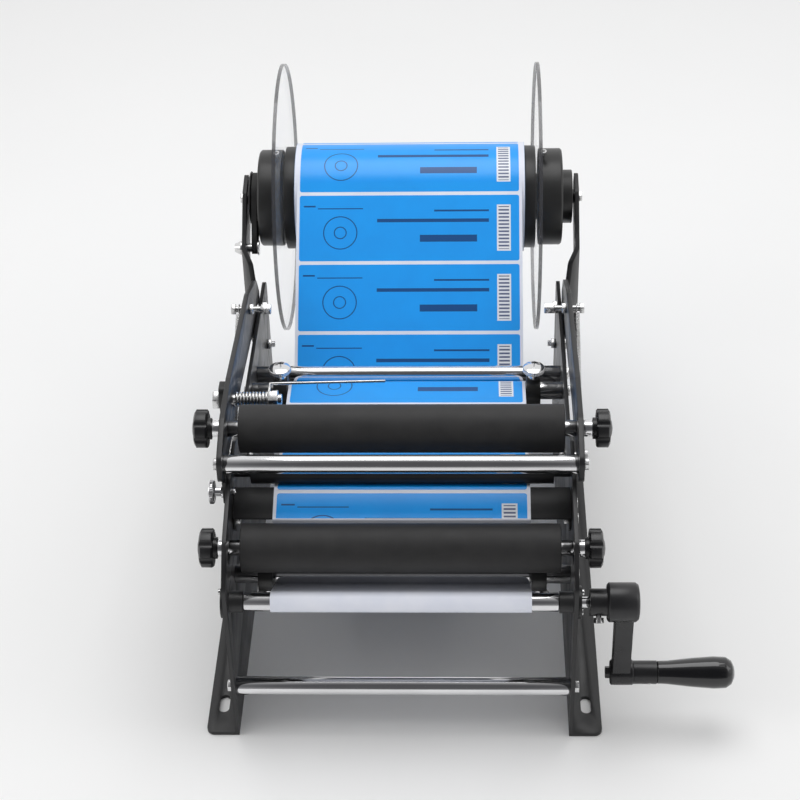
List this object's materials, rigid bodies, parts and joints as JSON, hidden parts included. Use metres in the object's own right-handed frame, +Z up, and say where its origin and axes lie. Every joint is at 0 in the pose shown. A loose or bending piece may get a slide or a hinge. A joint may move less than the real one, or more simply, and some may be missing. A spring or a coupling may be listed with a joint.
{
  "type": "bottle labelling machine",
  "caption": "Hand-cranked round bottle labeller: side plates, web rods, label reel, peel plate, drive roller and a sprung press roller arm.",
  "frame": {"origin": "centre of the overall box at the floor, under the feet", "axes": "+X along the rollers to the crank, +Y from the operator to the label reel, +Z up"},
  "size_m": [0.4021, 0.547, 0.328],
  "materials": {
    "black_powder_coat": "satin powder coat",
    "gloss_black_plastic": "moulded, satin gloss",
    "grip_plastic": "polished phenolic",
    "black_rubber": "matte ground rubber",
    "clear_acrylic": "clear polished",
    "black_nylon": "turned nylon",
    "belt_rubber": "matte",
    "label_stock": "semi-gloss printed paper",
    "spring_steel": "bright wire",
    "chrome_steel": "bright plated"
  },
  "bodies": {
    "frame": {"arm_pivots": "chrome_steel", "arm_spring_left": "spring_steel", "arm_spring_right": "spring_steel", "arm_stop": "black_powder_coat", "belt_anchor": "chrome_steel", "brake_belt": "belt_rubber", "drive_bearing_left": "black_powder_coat", "drive_bearing_right": "black_powder_coat", "frame_bolts": "chrome_steel", "frame_screws": "chrome_steel", "label_web": "label_stock", "peel_plate": "black_powder_coat", "reel_arm_left": "black_powder_coat", "reel_arm_right": "black_powder_coat", "reel_axle": "chrome_steel", "side_plate_left": "black_powder_coat", "side_plate_right": "black_powder_coat", "spring_anchors": "spring_steel", "tie_rod": "chrome_steel", "web_rod_front": "chrome_steel", "web_rod_middle": "chrome_steel", "web_rod_rear": "chrome_steel"},
    "drive": {"drive_roller": "chrome_steel", "crank_arm": "gloss_black_plastic", "grip_pin": "chrome_steel"},
    "grip": {"crank_grip": "grip_plastic"},
    "lower_carriage": {"lower_axle": "chrome_steel", "lower_spacers": "chrome_steel"},
    "lower_roller": {"lower_roller": "black_rubber"},
    "lower_knob_left": {"lower_knob_left": "gloss_black_plastic"},
    "lower_knob_right": {"lower_knob_right": "gloss_black_plastic"},
    "idler": {"idler_roller": "black_powder_coat"},
    "press_arms": {"press_arm_left": "black_powder_coat", "press_arm_right": "black_powder_coat", "press_rod": "chrome_steel", "press_arm_bolts": "chrome_steel", "upper_axle": "chrome_steel", "upper_spacers": "chrome_steel", "wire_bolt": "chrome_steel", "wire_lug": "black_powder_coat", "wire_spring": "spring_steel"},
    "upper_roller": {"upper_roller": "black_rubber"},
    "upper_knob_left": {"upper_knob_left": "gloss_black_plastic"},
    "upper_knob_right": {"upper_knob_right": "gloss_black_plastic"},
    "reel": {"reel_hub_left": "black_nylon", "reel_hub_right": "black_nylon", "reel_disc_left": "clear_acrylic", "reel_disc_right": "clear_acrylic", "reel_plug_left": "black_nylon", "reel_plug_right": "black_nylon", "label_roll": "label_stock"},
    "arm_stop_screw": {"arm_stop_screw": "chrome_steel"},
    "upper_collar_left": {"upper_collar_left": "black_nylon"},
    "upper_collar_left_screw": {"upper_collar_left_screw": "chrome_steel"},
    "upper_collar_right": {"upper_collar_right": "black_nylon"},
    "upper_collar_right_screw": {"upper_collar_right_screw": "chrome_steel"},
    "front_collar_left": {"front_collar_left": "black_nylon"},
    "front_collar_left_screw": {"front_collar_left_screw": "chrome_steel"},
    "front_collar_right": {"front_collar_right": "black_nylon"},
    "front_collar_right_screw": {"front_collar_right_screw": "chrome_steel"}
  },
  "joints": [
    {"name": "drive_turn", "type": "hinge", "parent": "frame", "child": "drive", "pos_m": [-0.046, -0.2565, 0.122], "axis": [1, 0, 0], "continuous": true},
    {"name": "grip_turn", "type": "hinge", "parent": "drive", "child": "grip", "pos_m": [0.169, -0.2565, 0.051], "axis": [1, 0, 0], "continuous": true},
    {"name": "lower_roller_adjust", "type": "slide", "parent": "frame", "child": "lower_carriage", "axis": [0, -1, 0], "range_m": [0, 0.012]},
    {"name": "lower_roller_turn", "type": "hinge", "parent": "lower_carriage", "child": "lower_roller", "pos_m": [-0.046, -0.2325, 0.153], "axis": [1, 0, 0], "continuous": true},
    {"name": "lower_knob_left_turn", "type": "hinge", "parent": "lower_carriage", "child": "lower_knob_left", "pos_m": [-0.186, -0.2325, 0.153], "axis": [1, 0, 0], "continuous": true},
    {"name": "lower_knob_right_turn", "type": "hinge", "parent": "lower_carriage", "child": "lower_knob_right", "pos_m": [0.094, -0.2325, 0.153], "axis": [1, 0, 0], "continuous": true},
    {"name": "idler_turn", "type": "hinge", "parent": "frame", "child": "idler", "pos_m": [-0.046, -0.1755, 0.177], "axis": [1, 0, 0], "continuous": true},
    {"name": "press_arm_lift", "type": "hinge", "parent": "frame", "child": "press_arms", "pos_m": [-0.046, 0.0665, 0.16], "axis": [-1, 0, 0], "range_deg": [0, 60], "deforming": ["arm_spring_left", "arm_spring_right"]},
    {"name": "upper_roller_turn", "type": "hinge", "parent": "press_arms", "child": "upper_roller", "pos_m": [-0.046, -0.1615, 0.208], "axis": [1, 0, 0], "continuous": true},
    {"name": "upper_knob_left_turn", "type": "hinge", "parent": "press_arms", "child": "upper_knob_left", "pos_m": [-0.194, -0.1615, 0.208], "axis": [1, 0, 0], "continuous": true},
    {"name": "upper_knob_right_turn", "type": "hinge", "parent": "press_arms", "child": "upper_knob_right", "pos_m": [0.102, -0.1615, 0.208], "axis": [1, 0, 0], "continuous": true},
    {"name": "reel_turn", "type": "hinge", "parent": "frame", "child": "reel", "pos_m": [-0.046, 0.1585, 0.213], "axis": [1, 0, 0], "continuous": true},
    {"name": "arm_stop_screw_turn", "type": "hinge", "parent": "frame", "child": "arm_stop_screw", "pos_m": [-0.186, -0.1975, 0.177], "axis": [1, 0, 0], "continuous": true},
    {"name": "upper_collar_left_slide", "type": "slide", "parent": "frame", "child": "upper_collar_left", "axis": [-1, 0, 0], "range_m": [0, 0.014]},
    {"name": "upper_collar_left_screw_turn", "type": "hinge", "parent": "upper_collar_left", "child": "upper_collar_left_screw", "pos_m": [-0.1475, -0.0405, 0.152], "axis": [0, 0, 1], "continuous": true},
    {"name": "upper_collar_right_slide", "type": "slide", "parent": "frame", "child": "upper_collar_right", "axis": [1, 0, 0], "range_m": [0, 0.014]},
    {"name": "upper_collar_right_screw_turn", "type": "hinge", "parent": "upper_collar_right", "child": "upper_collar_right_screw", "pos_m": [0.0555, -0.0405, 0.152], "axis": [0, 0, 1], "continuous": true},
    {"name": "front_collar_left_slide", "type": "slide", "parent": "frame", "child": "front_collar_left", "axis": [-1, 0, 0], "range_m": [0, 0.014]},
    {"name": "front_collar_left_screw_turn", "type": "hinge", "parent": "front_collar_left", "child": "front_collar_left_screw", "pos_m": [-0.1475, -0.2175, 0.114], "axis": [0, 0, 1], "continuous": true},
    {"name": "front_collar_right_slide", "type": "slide", "parent": "frame", "child": "front_collar_right", "axis": [1, 0, 0], "range_m": [0, 0.014]},
    {"name": "front_collar_right_screw_turn", "type": "hinge", "parent": "front_collar_right", "child": "front_collar_right_screw", "pos_m": [0.0555, -0.2175, 0.114], "axis": [0, 0, 1], "continuous": true}
  ],
  "couplings": [
    {"joint": "idler_turn", "follows": "drive_turn", "ratio": -0.88235},
    {"joint": "reel_turn", "follows": "drive_turn", "ratio": 0.15789}
  ]
}
